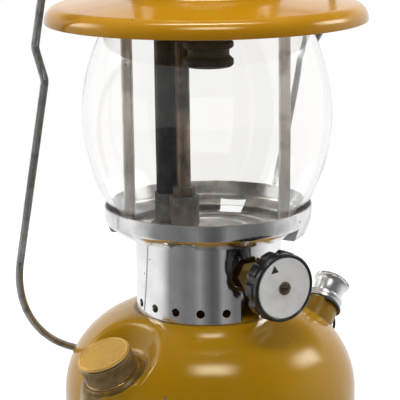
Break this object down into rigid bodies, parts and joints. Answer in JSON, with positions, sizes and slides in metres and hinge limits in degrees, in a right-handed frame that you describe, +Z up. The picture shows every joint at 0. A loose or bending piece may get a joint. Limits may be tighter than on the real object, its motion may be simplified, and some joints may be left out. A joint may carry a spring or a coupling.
{
  "type": "gasoline pressure lantern",
  "caption": "Pressure lantern with a rounded fuel fount, hand pump, valve wheel, clear barrel globe, hat-shaped ventilator and a wire bail to carry it by.",
  "frame": {"origin": "on the floor, under the fount's axis", "axes": "+Z up along the fount's axis, -Y towards the valve wheel, +X towards the pump"},
  "size_m": [0.182, 0.164, 0.3178],
  "materials": {
    "enamel": "gloss",
    "brass": "satin",
    "cap_brass": "worn",
    "generator_bronze": "heat stained",
    "seal": "matt",
    "alloy": "satin",
    "black_wire": "gloss",
    "leather": "matt",
    "phenolic": "gloss",
    "nickel": "polished",
    "sooty_casting": "sooty",
    "sooty_steel": "sooty",
    "steel": "satin",
    "galvanised_wire": "dull",
    "clear_glass": "clear"
  },
  "bodies": {
    "fount": {"fount_shell": "enamel", "base_pan": "enamel", "ventilator": "enamel", "valve_bush": "brass", "pickup_tube": "brass", "filler_neck": "brass", "pump_barrel": "brass", "check_valve": "brass", "valve_body": "brass", "packing_nut": "brass", "generator_nut": "brass", "generator": "generator_bronze", "stem_packing": "seal", "pump_cap": "alloy", "pump_clip": "black_wire", "collar": "nickel", "ball_nut": "nickel", "burner_base": "sooty_casting", "burner_cap": "sooty_casting", "mixing_tube": "sooty_steel", "globe_rest": "sooty_steel", "burner_screen": "steel", "right_upright": "steel", "left_upright": "steel", "frame_bridge": "steel", "frame_stud": "steel", "heat_baffle": "steel", "baffle_nut": "steel", "globe": "clear_glass"},
    "bail": {"bail": "galvanised_wire"},
    "valve": {"valve_stem": "steel", "valve_wheel": "phenolic", "wheel_disc": "alloy", "wheel_screw": "steel"},
    "needle": {"cleaning_needle": "steel"},
    "filler_seal": {"filler_gasket": "seal"},
    "filler_top": {"filler_cap": "cap_brass"},
    "plunger": {"pump_cup": "leather", "cup_retainer": "steel"},
    "pump_handle": {"pump_rod": "steel", "pump_knob": "alloy"},
    "pump_stem": {"air_stem": "steel"}
  },
  "joints": [
    {"name": "bail_swing", "type": "hinge", "parent": "fount", "child": "bail", "pos_m": [0, 0, 0.28038], "axis": [1, 0, 0], "range_deg": [0, 322]},
    {"name": "valve_turn", "type": "hinge", "parent": "fount", "child": "valve", "pos_m": [0, 0, 0.114], "axis": [0, -1, 0], "range_deg": [0, 270]},
    {"name": "needle_lift", "type": "slide", "parent": "fount", "child": "needle", "axis": [0, 0, 1], "range_m": [0, 0.003]},
    {"name": "filler_lift", "type": "slide", "parent": "fount", "child": "filler_seal", "axis": [-0.4017, -0.0636, 0.9135], "range_m": [0, 0.0082]},
    {"name": "filler_turn", "type": "hinge", "parent": "filler_seal", "child": "filler_top", "pos_m": [-0.06588, -0.01043, 0.067], "axis": [-0.4017, -0.0636, 0.9135], "range_deg": [0, 1440]},
    {"name": "pump_stroke", "type": "slide", "parent": "fount", "child": "plunger", "axis": [0.6732, 0.2858, 0.682], "range_m": [0, 0.044]},
    {"name": "pump_turn", "type": "hinge", "parent": "plunger", "child": "pump_handle", "pos_m": [0.06258, -0.0156, 0.0836], "axis": [0.6732, 0.2858, 0.682], "range_deg": [0, 720]},
    {"name": "stem_turn", "type": "hinge", "parent": "fount", "child": "pump_stem", "pos_m": [0.06258, -0.0156, 0.0836], "axis": [0.6732, 0.2858, 0.682], "range_deg": [0, 721]}
  ],
  "couplings": [
    {"joint": "needle_lift", "follows": "valve_turn", "m_per_rad": 0.0006},
    {"joint": "filler_lift", "follows": "filler_turn", "m_per_rad": 0.00031831},
    {"joint": "stem_turn", "follows": "pump_turn", "ratio": 1}
  ]
}
